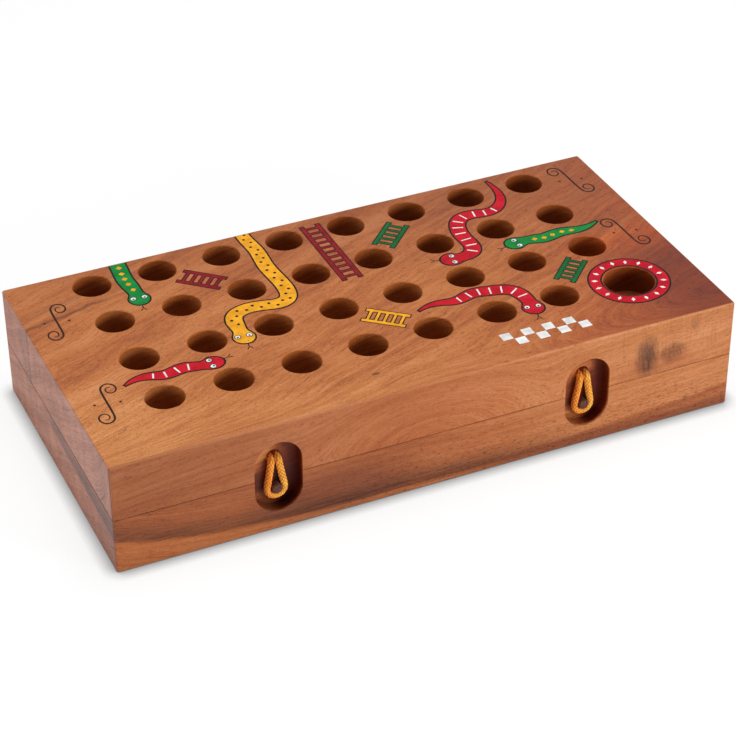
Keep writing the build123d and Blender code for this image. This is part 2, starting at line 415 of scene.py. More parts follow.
def braided_tube(line, length, radius_at):
    """Points, faces, braid heights and painted hole shade of a closed tube along an evenly spaced line."""
    verts, heights, hole_shade = [], [], []
    last = len(line) - 1
    side = (line[1] - line[0]).normalized().orthogonal().normalized()
    for i, centre in enumerate(line):
        tangent = (line[min(i + 1, last)] - line[max(i - 1, 0)]).normalized()
        side = (side - tangent * side.dot(tangent)).normalized()
        other = tangent.cross(side)
        along = length * i / last
        past_hole = max(0, min(along, length - along) - HOLE_SHADE_START)
        for k in range(TUBE_SIDES):
            angle = 2 * pi * k / TUBE_SIDES
            height = braid_height(angle, along)
            reach = radius_at(along / length) * (1 + BRAID_HEIGHT * (height - 0.5) * 2)
            verts.append(centre + (side * cos(angle) + other * sin(angle)) * reach)
            heights.append(height)
            hole_shade.append(max(0, 1 - past_hole / HOLE_SHADE_FADE))
    caps = [tuple(reversed(range(TUBE_SIDES))), tuple(range(last * TUBE_SIDES, len(verts)))]
    return verts, tube_faces(len(line), TUBE_SIDES) + caps, heights, hole_shade


def braid_piece(name, tubes, material):
    """One piece from braided tubes, with the braid's height and the painted hole shade as attributes."""
    verts, faces, heights, hole_shade = [], [], [], []
    for points, polygons, bumps, hole_shades in tubes:
        start = len(verts)
        verts += points
        faces += [tuple(start + i for i in face) for face in polygons]
        heights += bumps
        hole_shade += hole_shades
    piece = mesh_piece(name, verts, faces, material)
    for label, values in (("braid", heights), ("near_hole", hole_shade)):
        attribute = piece.data.attributes.new(label, "FLOAT", "POINT")
        attribute.data.foreach_set("value", values)
    return piece


def eased(value):
    """A smooth step from 0 to 1."""
    value = min(1, max(0, value))
    return value * value * (3 - 2 * value)


def loop_radius(share):
    """The cord is a little fuller near its hole than round the peg."""
    slack = eased(abs(share - 0.5) * 2 / 0.45)
    return CORD_RADIUS * (DRAWN_AT_PEG + (1 - DRAWN_AT_PEG) * slack)


def make_loop(hand, middle_x, material):
    """One elastic loop, from the cord hole, down round the peg and back."""
    route = [
        (middle_x + across * MM, RECESS_WALL_Y - front * MM, CORD_HOLE_Z + height * MM)
        for across, front, height in LOOP_ROUTE
    ]
    line, length = evenly(smooth_points(route), TUBE_STEP)
    piece = braid_piece(f"{hand}_elastic_loop", [braided_tube(line, length, loop_radius)], material)
    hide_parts(f"{hand}_loop")
    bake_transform(piece)


def knot_tail(end, middle_x):
    """Line of one of the cord's two tails, from inside its hole to the knot."""
    x = middle_x + end * STRAND_ACROSS
    return smooth_points([
        (x, RECESS_WALL_Y + 2.9 * MM, CORD_HOLE_Z),
        (x, RECESS_WALL_Y + 6.4 * MM, CORD_HOLE_Z),
        ((x + middle_x) / 2, KNOT_Y - 0.5 * MM, CORD_HOLE_Z - end * 0.6 * MM),
    ])


def knot_ring(middle_x):
    """Line of the knot itself: a trefoil, open for a small share of its length."""
    ring = []
    for i in range(KNOT_STEPS + 1):
        t = 2 * pi * (KNOT_OPEN + (1 - 2 * KNOT_OPEN) * i / KNOT_STEPS)
        across = (sin(t) + 2 * sin(2 * t)) * KNOT_REACH
        up = (cos(t) - 2 * cos(2 * t)) * KNOT_REACH
        ring.append(Vector((middle_x + across, KNOT_Y - sin(3 * t) * KNOT_THICK, CORD_HOLE_Z + up)))
    return ring


def make_knot(hand, middle_x, material):
    """The cord's two tails through the wall and the overhand knot behind it."""
    parts = [(knot_tail(end, middle_x), DRAWN_IN_WALL) for end in (-1, 1)]
    parts.append((knot_ring(middle_x), DRAWN_IN_KNOT))
    tubes = []
    for points, drawn in parts:
        line, length = evenly(points, TUBE_STEP)
        tubes.append(braided_tube(line, length, lambda share: CORD_RADIUS * drawn))
    piece = braid_piece(f"{hand}_elastic_knot", tubes, material)
    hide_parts(f"{hand}_loop_knot")
    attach(piece, "lid")


make_camera()
cord_material = cord_surface()
for hand in ("left", "right"):
    middle_x = sum(corner.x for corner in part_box(f"{hand}_loop")) / 2
    make_loop(hand, middle_x, cord_material)
    make_knot(hand, middle_x, cord_material)


# Wood

# Places and distances in the wood are in millimetres.
WOOD_STOPS = [
    (0.26, (0.175, 0.036, 0.008)),
    (0.40, (0.340, 0.083, 0.016)),
    (0.52, (0.475, 0.140, 0.030)),
    (0.68, (0.585, 0.212, 0.066)),
]
FRONT_TINT = (1, 1, 1.28)
PORE_SHADE = (0.45, 0.36, 0.34)
# End grain tone, made bluish to add a painted cool reflection on the end faces
END_GRAIN_AND_REFLECTION_STOPS = [(0.38, (0.66, 0.71, 1.50)), (0.62, (0.88, 0.97, 2.00))]
END_FRONT_SHADE = (0.80, 0.74, 0.72)
# Painted shade deep in the playing holes
BORE_SHADE = (0.60, 0.50, 0.42)
# Painted shade in the recesses, deepest towards their lower right corners
RECESS_SHADE = (0.42, 0.26, 0.17)
RECESS_CORNER_SHADE = (0.56, 0.24, 0.14)
JOINT_SHADE = (0.44, 0.32, 0.26)
RUBBED_WOOD = (0.62, 0.27, 0.11)


def lid_rings(x, y, z):
    """Growth lines of the lid: arches on the front face, and slanting lines behind them."""
    behind = y - FRONT
    fade = (behind / -6).math("EXPONENT")
    straight = z + behind * 0.52 + x * (fade * 0.16 - 0.24)
    across = (x - 2) / 2.15
    up = z - 20
    arch = (across * across + up * up).math("SQRT")
    share = arch.step(32, 21) * fade
    return straight + share * (arch + 9 - straight)


def lower_rise(x):
    """How far the lower board's lines rise towards its two ends."""
    at_left = ((x + END) / -34).math("EXPONENT")
    at_right = larger(x - 10, 0)
    return at_left * 12 + at_right * at_right * 0.00045


def lower_rings(x, y, z):
    """Growth lines of the lower half: long flat lines on the front that rise at the ends."""
    return z - lower_rise(x) + (y - FRONT) * 0.40


def lid_marks(shader, rings, front):
    """Marks of the lid's own board, and a painted highlight at its left front corner, as (factor, tint).
    """
    x, y, z = parts = shader.parts
    on_top = 1 - front
    streaks = shader.noise(rings, 0.30, 2, 0.6).scaled(0.3, 0.7, 0.65, 1)
    right_side = (x - y * 0.6).step(38, 150) * z.scaled(24, 45, 0.35, 1) * streaks
    to_back = (y + x * 0.25).step(0, 75)
    strip = (y + x * 0.12).step(-22, -58) * x.step(25, -15)
    # Painted highlight: a lighter, whiter oval at the left front corner of the top
    painted_highlight_corner = oval(parts, (-124, -50, 0), (34, 44, None))
    corner = oval(parts, (124, -42, 40), (32, 38, 16))
    warm = oval(parts, (112, -4, 0), (26, 8, None))
    upright = shader.noise((x, 0, z * 0.06), 1.2, 3, 0.7)
    saw_marks = upright.step(0.48, 0.66) * x.step(40, 90)
    reddish = oval(parts, (93, 0, 23), (17, None, 8), 0.9)
    wobble = shader.noise((x, 0, 0), 0.16, 1)
    dark_line = abs(y - x * 0.25 + wobble * 3 - 64.1).step(1.5, 0.2) * x.step(-84, -96)
    soft_line = abs(y - x * 0.30 + wobble * 5 - 78).step(4.5, 0.5) * x.step(-70, -105)
    knot = oval(parts, (-18, -48.5, 0), (1.5, 0.8, None), 0.7)
    smudge = larger(
        oval(parts, (87.6, 0, 32), (4.6, None, 8)),
        oval(parts, (98.8, 0, 31), (5, None, 4)) * 0.85,
        oval(parts, (108, 0, 41.5), (2, None, 3)) * 0.4,
    )
    core = oval(parts, (87.6, 0, 31), (2.6, None, 5.5))
    ragged = shader.noise((x + z * 0.2, y, z * 0.22), 0.9, 4, 0.7).scaled(0.34, 0.66, 0.45, 1)
    return [
        (on_top * right_side * 0.95, (0.68, 0.33, 0.15)),
        (to_back * 0.78, (0.68, 0.57, 0.58)),
        (on_top * corner * 0.85, (0.44, 0.24, 0.08)),
        (on_top * warm * 0.60, (1.42, 1.22, 0.85)),
        (on_top * painted_highlight_corner, (1.18, 1.34, 1.60)),
        (on_top * strip * 0.70, (1.12, 1.28, 1.42)),
        (front * x.step(-5, 85) * 0.80, (1.18, 1.48, 1.70)),
        (front * x.step(30, -125), (0.78, 0.81, 0.95)),
        (front * saw_marks * 0.50, (0.76, 0.66, 0.64)),
        (front * reddish * 0.55, (0.74, 0.58, 0.56)),
        (dark_line * 0.75, (0.34, 0.28, 0.30)),
        (soft_line * 0.35, (0.50, 0.45, 0.45)),
        (knot * 0.85, (0.30, 0.20, 0.16)),
        (front * smudge * ragged, (0.28, 0.24, 0.28)),
        (front * core * ragged, (0.50, 0.54, 0.64)),
    ]


def lower_marks(shader, rings, front):
    """Marks of the lower board, as (factor, tint)."""
    x, y, z = shader.parts
    ragged = shader.noise((x * 0.04, z, 0), 0.9, 3, 0.6)
    height = z - lower_rise(x) - y * 0.05 + ragged * 3 - 7.2
    streak = shader.noise((x * 0.05, y, z * 1.1), 1, 3, 0.7)
    dark = height.step(-1.8, 0.4) * height.step(9, 0.8) * x.step(70, 0)
    dark = dark * y.step(20, -10) * streak.scaled(0.36, 0.62, 0.68, 1)
    brown = oval(shader.parts, (-40, 0, 10), (28, None, 9)) * streak
    line = abs(height).step(1.8, 0.2) * x.step(60, 110)
    to_left = x.step(70, -60) * height.step(0, 6)
    to_right = x.step(0, 75) * height.step(0.5, 3)
    base = (z + ragged * 4).step(8.5, 4.5) * x.step(-10, 50)
    flecks = shader.noise((x * 0.42, 0, z * 1.5), 1, 3, 0.7).step(0.54, 0.61)
    flecks = flecks * x.step(-70, 0) * z.step(24, 10)
    return [
        (dark * 0.95, (0.29, 0.26, 0.31)),
        (front * brown * 1.7, (0.64, 0.58, 0.68)),
        (line * 0.45, (0.46, 0.40, 0.46)),
        (to_left * 0.70, (0.66, 0.62, 0.66)),
        (to_right * 0.8, (1.15, 1.42, 1.60)),
        (base * 0.90, (0.56, 0.48, 0.56)),
        (front * flecks * 0.80, (0.48, 0.36, 0.32)),
    ]


def end_grain(shader, colour, from_end):
    """Speckled end grain on the two end faces, cooled towards mauve as a painted reflection, darker
    towards the front.
    """
    y, z = shader.parts[1:]
    end = from_end.step(0.5, 0.1)
    specks = shader.noise((0, y, z), 2.6, 2, 0.6)
    bands = shader.noise((0, y, z * 0.35), 0.16)
    colour = shader.tint(end, colour, shader.ramp(specks * 0.4 + bands * 0.6, END_GRAIN_AND_REFLECTION_STOPS))
    return shader.tint(end * y.step(-5, -64), colour, END_FRONT_SHADE)


def dark_bores(shader, colour, from_side, from_end, from_face):
    """Painted shade in the playing holes, darker with depth."""
    inside = from_side.step(0.8, 1.4) * from_end.step(0.8, 1.4)
    down = from_face.step(0.2, 5) * from_face.step(HOLE_DEPTH + 0.9, HOLE_DEPTH + 0.2)
    return shader.tint(inside * down, colour, BORE_SHADE)


def routed_recesses(shader, colour):
    """Painted shade on the walls of the recesses, darkest in the lower right and left out in the lit
    places.
    """
    x, y, z = shader.parts
    across = across_recess(x)
    behind = y - FRONT
    depth = RECESS_DEPTH / MM
    routed = behind.step(0.3, 1.6) * behind.step(depth + 1, depth + 0.6)
    routed = routed * abs(across).step(RECESS_HALF_WIDTH + 0.9, RECESS_HALF_WIDTH + 0.3)
    routed = routed * abs(z - PARTING).step(RECESS_HALF_HEIGHT + 1, RECESS_HALF_HEIGHT + 0.2)
    to_corner = across * 1.2 - z + (PARTING + 14)
    right_top = x.step(-1, 1) * z.step(22, 32)
    # Lit places that are left clear of the painted shade
    lit_corner = oval((across, y, z), (-6.5, 0, 9.5), (7, None, 5), 0.9)
    lit_top = oval((across, y, z), (-1, 0, 35), (6.5, None, 8), 0.8) * right_top
    painted_shade = routed * to_corner.step(0.5, 7) * (1 - larger(lit_corner, lit_top))
    deep_shade = painted_shade * to_corner.step(2, 20) * (1 - right_top * 0.7)
    return shader.tint(deep_shade, shader.tint(painted_shade, colour, RECESS_SHADE), RECESS_CORNER_SHADE)


def dark_joint(shader, colour, from_outside, grit):
    """Broken dark line where the halves meet."""
    joint = abs(shader.parts[2] - PARTING).step(0.42, 0.12) * from_outside.step(1.2, 0.6)
    return shader.tint(joint * grit.scaled(0.35, 0.65, 0, 0.8), colour, JOINT_SHADE)


def rubbed_edges(shader, colour, distances, wear):
    """Outer edges, rubbed a little lighter."""
    side, end, face = [away.step(0.9, 0.15) for away in distances]
    edges = larger(side * face, end * face, side * end)
    return shader.mix(edges * wear.scaled(0.3, 0.7, 0.05, 0.3), colour, RUBBED_WOOD)


def wood_surface(name, rings_of, marks_of, seed):
    """Oiled hardwood: growth lines, fibres, pores, the board's own marks, traces of work and use, painted
    shade in the holes and recesses, a painted highlight on the lid and a painted cool reflection on the
    end faces.
    """
    shader = Shader(name)
    x, y, z = shader.parts
    slow = shader.noise((x * 0.010, y * 0.022, z * 0.022), 1)
    wave = shader.noise(shader.parts, 0.05)
    rings = rings_of(x, y, z) + slow * 10 + wave * 2 + seed
    front = y.step(FRONT + 1.2, FRONT + 0.3)

    bands = shader.noise(rings, 0.13, 2, 0.55)
    lines = shader.noise(rings, 0.55, 2, 0.55)
    fibres = shader.noise((x * 0.10, rings * 2.1, (y + z) * 0.16), 1, 4, 0.66)
    pores = shader.noise((x * 0.38, rings * 2.6, (y + z) * 0.9), 1, 1).step(0.60, 0.68)
    grit = shader.noise(shader.parts, 1.3, 2, 0.7)
    blotches = shader.noise(shader.parts, 0.026)
    shimmer = shader.noise((x * 0.12, y, z), 0.16)
    terms = ((bands, 0.28), (lines, 0.20), (fibres, 0.46), (blotches, 0.22), (shimmer, 0.14), (grit, 0.26))
    swing = sum((source - 0.5) * weight for source, weight in terms)
    calmer = swing * (1 - front * 0.28) + 0.53
    colour = shader.tint(front, shader.ramp(calmer, WOOD_STOPS), FRONT_TINT)
    for factor, by in marks_of(shader, rings, front):
        colour = shader.tint(factor, colour, by)
    colour = shader.tint(pores * 0.52, colour, PORE_SHADE)

    from_side, from_end, _ = distances = (BACK - abs(y), END - abs(x), smaller(z, TOP - z))
    colour = end_grain(shader, colour, from_end)
    colour = dark_bores(shader, colour, *distances)
    colour = routed_recesses(shader, colour)
    colour = dark_joint(shader, colour, smaller(from_side, from_end), grit)
    colour = rubbed_edges(shader, colour, distances, slow)
    return shader.finish({
        "Base Color": colour,
        "Roughness": fibres * 0.16 + blotches * 0.14 + pores * 0.12 + 0.26,
        "Normal": shader.bump(fibres * 0.5 + lines * 0.2 - pores * 0.8, 0.08, 0.55),
        "IOR": 1.32,
    })


def ink_surface(name, colour, seed):
    """Screen print on wood: cloudy colour, thin spots over the grain and fine relief."""
    shader = Shader(name)
    x, y, z = shader.parts
    grain = shader.noise((x * 0.5, y + seed, z), 1.1, 4, 0.7)
    cloud = shader.noise((x, y, z + seed), 0.25).scaled(0.35, 0.65, 0, 1)
    worn = tuple(part * 0.55 + wood * 0.45 for part, wood in zip(colour, WOOD_STOPS[1][1]))
    tone = shader.mix(cloud, shade(colour, 0.80), shade(colour, 1.12, 0.004))
    return shader.finish({
        "Base Color": shader.mix(grain.step(0.62, 0.78) * 0.5, tone, worn),
        "Roughness": grain * 0.3 + 0.36,
        "Normal": shader.bump(grain, 0.06, 0.5),
        "IOR": 1.18,
    })


dress("lid_half", wood_surface("lid_wood", lid_rings, lid_marks, 0))
dress("lower_half", wood_surface("lower_wood", lower_rings, lower_marks, 71))


# Prints on the two playing faces

# The open board is drawn in one plane, in millimetres: x along the hinge line and b away from it,
# positive on the lid and negative on the underside of the lower half.
EDGE_MARGIN = 0.9
PRINT_ROOT = -0.02
CORNERS = ((-1, -1), (1, -1), (1, 1), (-1, 1))
LAYERS = {"outline": 0.020, "tongue": 0.026, "fill": 0.034, "mark": 0.044, "white": 0.054, "pupil": 0.064}
INKS = {
    "red": (0.56, 0.006, 0.018),
    "green": (0.002, 0.230, 0.040),
    "yellow": (0.93, 0.400, 0.018),
    "dark_red": (0.26, 0.005, 0.012),
    "dark_green": (0.002, 0.120, 0.026),
    "black": (0.004, 0.003, 0.003),
    "white": (0.88, 0.88, 0.86),
    "brown": (0.030, 0.010, 0.005),
}
OUTLINE = 0.7
FINISH_HOLE = (96.2, 94.5)
FINISH_RING = (11.1, 15.4)
FINISH_TEETH = 16
CHEQUERS = (33.5, 107.2)
CHEQUER_SIDE = 4.4
SCROLL_HEIGHT = 27
SCROLL_TURNS = 1.35
SCROLL_STEPS = 16
TAIL_HALF = 0.22
HEAD_LENGTH = 4.4
HEAD_SHARE = 1.32
NECK_LENGTH = 4.5
NECK_THINNING = 0.16
MARK_STEPS = {"yellow": 3.1, "red": 4.6, "green": 4.2}
shapes = {}


def draw(ink, layer, points, faces=None):
    """Keeps a flat shape for the print of one ink."""
    flat, polygons = shapes.setdefault((ink, layer), ([], []))
    start = len(flat)
    flat.extend(tuple(p) for p in points)
    polygons.extend(tuple(start + i for i in face) for face in faces or [range(len(points))])


def around(centre, radius, sides):
    """Points of a circle."""
    angles = [2 * pi * i / sides for i in range(sides)]
    return [(centre[0] + radius * cos(a), centre[1] + radius * sin(a)) for a in angles]


def draw_disc(ink, layer, centre, radius, sides=28):
    """A filled circle."""
    draw(ink, layer, around(centre, radius, sides))


def draw_ring(ink, layer, centre, inner, outer, sides=96):
    """A flat ring."""
    points = around(centre, inner, sides) + around(centre, outer, sides)
    pairs = [(i, (i + 1) % sides) for i in range(sides)]
    draw(ink, layer, points, [(i, sides + i, sides + j, j) for i, j in pairs])


def draw_bar(ink, layer, start, end, half_width):
    """A straight bar with square ends."""
    a, b = Vector(start), Vector(end)
    side = (b - a).normalized().orthogonal() * half_width
    draw(ink, layer, [a + side, b + side, b - side, a - side])


def draw_rhomb(ink, layer, centre, along, across):
    """A rhomb between four tips."""
    draw(ink, layer, [centre + along, centre + across, centre - along, centre - across])


def flat_line(route, spacing=0.45):
    """Points of a smooth line through the plane, and its length."""
    line, length = evenly(smooth_points([(x, b, 0) for x, b in route], order=4), spacing)
    return [Vector((p.x, p.y)) for p in line], length


def left_of(ahead):
    """A direction turned a quarter to the left."""
    return Vector((-ahead.y, ahead.x))


def draw_stroke(ink, layer, line, half_widths):
    """A stroke along a line, with its half width at each point."""
    points, faces = [], []
    for i, at in enumerate(line):
        ahead = (line[min(i + 1, len(line) - 1)] - line[max(i - 1, 0)]).normalized()
        side = left_of(ahead) * half_widths[i]
        points += [at - side, at + side]
        if i:
            faces.append((2 * i - 2, 2 * i, 2 * i + 1, 2 * i - 1))
    draw(ink, layer, points, faces)


def snake_half_width(s, length, body, grow=0):
    """Half width of a snake at s from its tail: tapered body, neck and oval head."""
    head_half = body * HEAD_SHARE
    head_middle = length - HEAD_LENGTH
    if s > head_middle:
        past = min(1, (s - head_middle) / (HEAD_LENGTH + grow))
        return (head_half + grow) * sqrt(max(0, 1 - past * past)) + 0.01
    rise = min(1, max(0, s / (0.62 * length)))
    half = TAIL_HALF + (body - TAIL_HALF) * (1 - (1 - rise) ** 2)
    half *= 1 - NECK_THINNING * eased((s - (length - 15)) / 6)
    half += (head_half - half) * eased((s - (head_middle - NECK_LENGTH)) / NECK_LENGTH)
    return half + grow


def draw_back_marks(ink, place, length, body):
    """Marks along a snake's back: dots on yellow, bands on red and diamonds on green."""
    s = 0.30 * length
    turn = 1
    while s < length - 11:
        half = snake_half_width(s, length, body)
        at, ahead = place(s)
        if ink == "yellow":
            draw_disc("black", "mark", place(s, turn * 0.3 * half)[0], 0.17 * half + 0.12, 12)
            turn = -turn
        elif ink == "red":
            draw_bar("white", "white", place(s, 0.72 * half)[0], place(s, -0.72 * half)[0], 0.32)
        else:
            draw_rhomb("yellow", "mark", at, ahead * 1.25, left_of(ahead) * 0.42 * half)
        s += MARK_STEPS[ink]


def draw_face(place, length, body, tip, ahead):
    """A snake's eyes, nostrils and forked tongue."""
    for side in (-1, 1):
        eye = place(length - 4.9, side * body * 0.74)[0]
        draw_disc("black", "mark", eye, 1.36)
        draw_disc("white", "white", eye, 1.02)
        draw_disc("black", "pupil", eye + ahead * 0.3, 0.46, 16)
        draw_disc("black", "mark", place(length - 1.5, side * 0.7)[0], 0.2, 10)
    root = tip + ahead * (OUTLINE - 0.1)
    fork = root + ahead * 2
    across = left_of(ahead)
    draw_bar("black", "tongue", root, fork, 0.22)
    for side in (-1, 1):
        tongue_tip = fork + ahead * 1.5 + across * side * 1.1
        draw_bar("black", "tongue", fork + across * side * 0.22, tongue_tip, 0.2)


def draw_snake(ink, body, route):
    """A plain snake with an outline, marks along its back and a face."""
    line, length = flat_line(route)
    first = (line[1] - line[0]).normalized()
    last = (line[-1] - line[-2]).normalized()
    past_head = [line[-1] + last * (OUTLINE * share) for share in (0.4, 0.7, 0.9, 1)]
    longer = [line[0] - first * OUTLINE] + line + past_head
    along = [-OUTLINE]
    for a, b in zip(longer, longer[1:]):
        along.append(along[-1] + (b - a).length)
    draw_stroke("black", "outline", longer, [snake_half_width(s, length, body, OUTLINE) for s in along])
    steps = len(line) - 1
    even = [length * i / steps for i in range(steps + 1)]
    draw_stroke(ink, "fill", line, [snake_half_width(s, length, body) for s in even])

    def place(s, off=0):
        """The point at s along the back and off to its left, and the direction ahead."""
        i = min(steps - 1, max(1, round(s / length * steps)))
        ahead = (line[i + 1] - line[i - 1]).normalized()
        return line[i] + left_of(ahead) * off, ahead

    draw_back_marks(ink, place, length, body)
    draw_face(place, length, body, line[-1], last)


def draw_ladder(ink, centre, length, width, angle, rungs=5):
    """A ladder: two rails and rungs between them, each with a thin outline."""
    along = Vector((cos(radians(angle)), sin(radians(angle))))
    across = left_of(along)
    middle = Vector(centre)
    rail_half, rung_half, line_width = 0.75, 0.5, 0.45
    rail_off = width / 2 - rail_half
    for name, layer, grow in ((ink, "fill", 0), ("black", "outline", line_width)):
        for side in (-1, 1):
            rail = middle + across * side * rail_off
            reach = along * (length / 2 + grow)
            draw_bar(name, layer, rail - reach, rail + reach, rail_half + grow)
        for i in range(rungs):
            at = middle + along * ((i + 0.5) / rungs - 0.5) * (length - 1)
            reach = across * (rail_off - rail_half - grow)
            draw_bar(name, layer, at - reach, at + reach, rung_half + grow)


def draw_scroll(x, b):
    """A thin scroll of two spirals joined by a stem, with a dot on each side, mirrored at the right."""
    height = SCROLL_HEIGHT
    flip = -copysign(1, x)
    route = []
    for end in (1, -1):
        part = []
        for i in range(SCROLL_STEPS + 1):
            share = i / SCROLL_STEPS
            angle = 2 * pi * SCROLL_TURNS * (1 - share)
            radius = (0.045 + 0.115 * share) * height
            across = end * flip * (radius * cos(angle) - 0.16 * height) * 0.8
            part.append((x + across, b + end * (height * 0.30 + radius * sin(angle))))
        route += part[::end]
    line, length = flat_line(route, 0.35)
    steps = len(line) - 1
    half_widths = [0.16 + 0.26 * sin(pi * i / steps) ** 0.5 for i in range(steps + 1)]
    draw_stroke("brown", "outline", line, half_widths)
    for side in (-1, 1):
        dot = (x + side * 0.17 * height, b + side * 0.03 * height)
        draw_disc("brown", "outline", dot, 0.55, 14)


def draw_chequers():
    """White squares of a chequered strip, 8 by 2."""
    half = CHEQUER_SIDE * 0.47
    for row in range(2):
        for column in range(row, 8, 2):
            x = CHEQUERS[0] + (column + 0.5) * CHEQUER_SIDE
            b = CHEQUERS[1] + (row + 0.5) * CHEQUER_SIDE
            draw("white", "white", [(x + across * half, b + up * half) for across, up in CORNERS])


def draw_finish_ring():
    """A red ring with white teeth round the finish hole."""
    inner, outer = FINISH_RING
    draw_ring("black", "outline", FINISH_HOLE, inner - OUTLINE, outer + OUTLINE)
    draw_ring("red", "fill", FINISH_HOLE, inner, outer)
    for tip in around((0, 0), 1, FINISH_TEETH):
        toward = Vector(tip)
        centre = Vector(FINISH_HOLE) + toward * (inner + outer) / 2
        draw_rhomb("white", "white", centre, toward * 1.3, left_of(toward) * 0.75)


SNAKES = [
    # Across the hinge line
    ("yellow", 3.1, [
        (-26, -52), (-24.6, -38), (-27.4, -24), (-24.8, -11), (-27.2, 2), (-24.9, 14), (-27, 26),
        (-25.4, 38), (-25.4, 50), (-31, 54), (-39.3, 51), (-47, 51), (-53, 55), (-52, 64), (-52.8, 73),
    ]),
    ("green", 3, [
        (-79.2, -50), (-80.8, -38), (-77.8, -25), (-80.8, -12), (-77.8, 1), (-80.6, 13), (-78.2, 23),
        (-79.4, 32),
    ]),
    # On the lid
    ("red", 3.05, [
        (80.4, 4), (82, 13), (78.5, 23), (70, 27), (62, 23.5), (54.5, 27), (51.8, 38.5), (54.4, 49),
        (47, 54), (37, 51),
    ]),
    ("green", 2.9, [(106, 50.5), (98, 54.4), (90, 49.8), (81, 54.6), (74, 50.4), (65, 52.6)]),
    ("red", 3.05, [
        (14, 80), (21, 76.4), (29, 81.6), (37, 76.2), (45, 79), (53, 80), (55.6, 89), (53.4, 100),
    ]),
    ("red", 2.8, [(-103, 80), (-96, 75.8), (-88, 82), (-80, 76.2), (-73, 81), (-65, 79)]),
    # On the underside
    ("red", 3.05, [
        (27.2, -4), (29, -13), (25.4, -24), (17, -27.4), (8, -23.6), (0.5, -28), (-1, -39), (2, -50),
        (0.4, -62),
    ]),
    ("yellow", 3.05, [
        (106, -24), (98, -28), (89, -22.8), (81, -28), (78.8, -39), (81.4, -50), (74, -54), (64, -51),
    ]),
    ("green", 2.8, [(-103, -80), (-96, -75.8), (-88, -82), (-80, -76.2), (-73, -81), (-65, -79)]),
    ("red", 3.05, [(40, -108), (48, -104), (55, -94), (52.4, -83), (60, -76.6), (69, -81.4), (79, -79)]),
]
LADDERS = [
    ("dark_red", (-52.6, 25), 17.5, 9, 42),
    ("dark_green", (27.2, 25.5), 17.5, 9, -46),
    ("yellow", (0.6, 79), 17, 8.6, 40),
    ("dark_red", (0.6, 27), 43, 8.2, 90, 11),
    ("dark_green", (79.6, 78.2), 16.5, 8.2, -45),
    ("dark_green", (-52.6, -25), 17.5, 9, 44),
    ("dark_red", (53.8, -25), 17.5, 9, -44),
    ("dark_green", (27.2, -79), 17, 8.6, -42),
    ("yellow", (-26, -79), 17, 8.6, 42),
    ("dark_red", (-52.6, -80), 43, 8.2, 90, 11),
]
SCROLLS = [
    (-112.5, 30), (-112.5, 88), (112.5, 17), (112.8, 62),
    (-112.5, -30), (-112.5, -100), (112.5, -62), (112.5, -96),
]
for snake in SNAKES:
    draw_snake(*snake)
for ladder in LADDERS:
    draw_ladder(*ladder)
for scroll in SCROLLS:
    draw_scroll(*scroll)
draw_finish_ring()
draw_chequers()


def slab(layer, points, polygons, on_lid):
    """A closed thin slab for one flat shape, on one side of the hinge line."""
    flat = bmesh.new()
    verts = [flat.verts.new((x, b if on_lid else -b, 0)) for x, b in points]
    for polygon in polygons:
        flat.faces.new([verts[i] for i in polygon])
    bmesh.ops.remove_doubles(flat, verts=flat.verts, dist=1e-5)
    bmesh.ops.bisect_plane(
        flat,
        geom=flat.verts[:] + flat.edges[:] + flat.faces[:],
        plane_co=(0, EDGE_MARGIN, 0),
        plane_no=(0, 1, 0),
        clear_inner=True,
    )
    grown = bmesh.ops.extrude_face_region(flat, geom=flat.faces[:], use_keep_orig=True)
    raised = {v for v in grown["geom"] if isinstance(v, bmesh.types.BMVert)}
    for v in flat.verts:
        height = LAYERS[layer] if v in raised else PRINT_ROOT
        z = TOP + height if on_lid else -height
        v.co = Vector((v.co.x, BACK - v.co.y, z)) * MM
    bmesh.ops.recalc_face_normals(flat, faces=flat.faces[:])
    return flat


def make_print(ink, face, material):
    """One ink's print on one face."""
    mesh = bpy.data.meshes.new(f"{face}_{ink}_print")
    print_mesh = bmesh.new()
    for (shape_ink, layer), (points, polygons) in shapes.items():
        if shape_ink == ink:
            flat = slab(layer, points, polygons, face == "lid")
            flat.to_mesh(mesh)
            flat.free()
            print_mesh.from_mesh(mesh)
    print_mesh.to_mesh(mesh)
    print_mesh.free()
    if mesh.polygons:
        mesh.materials.append(material)
        piece = new_object(mesh.name, mesh)
        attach(piece, face)


for index, (ink, colour) in enumerate(INKS.items()):
    material = ink_surface(f"{ink}_ink", colour, 13 * index)
    for face in ("lid", "lower"):
        make_print(ink, face, material)


# Brass and dowels


def brass_surface(name, colour, brushed):
    """Brass with brushing and dull patches."""
    shader = Shader(name, metallic=1)
    x, y, z = shader.parts
    brush = shader.noise((x * 0.6, y * 9, z * 9), 1, 3, 0.6)
    cloud = shader.noise(shader.parts, 0.35, 3, 0.6)
    return shader.finish({
        "Base Color": shader.mix(cloud.scaled(0.35, 0.65, 0, 1), colour, shade(colour, 0.62)),
        "Roughness": brush * brushed + cloud * 0.22 + 0.10,
        "Normal": shader.bump(brush, 0.03, 0.6),
    })


def dowel_surface():
    """Beech dowel with grey brown end grain."""
    shader = Shader("dowel_wood", roughness=0.85)
    x, y, z = shader.parts
    rings = shader.noise((x * 1.6, y * 0.15, z * 0.8), 1, 4, 0.6)
    pores = shader.noise((x, y * 0.2, z), 7, 1).step(0.56, 0.66)
    colour = shader.ramp(rings, [(0.35, (0.085, 0.030, 0.022)), (0.65, (0.180, 0.075, 0.055))])
    return shader.finish({
        "Base Color": shader.tint(pores * 0.5, colour, (0.45, 0.42, 0.42)),
        "Normal": shader.bump(rings, 0.08, 0.6),
        "IOR": 1.15,
    })


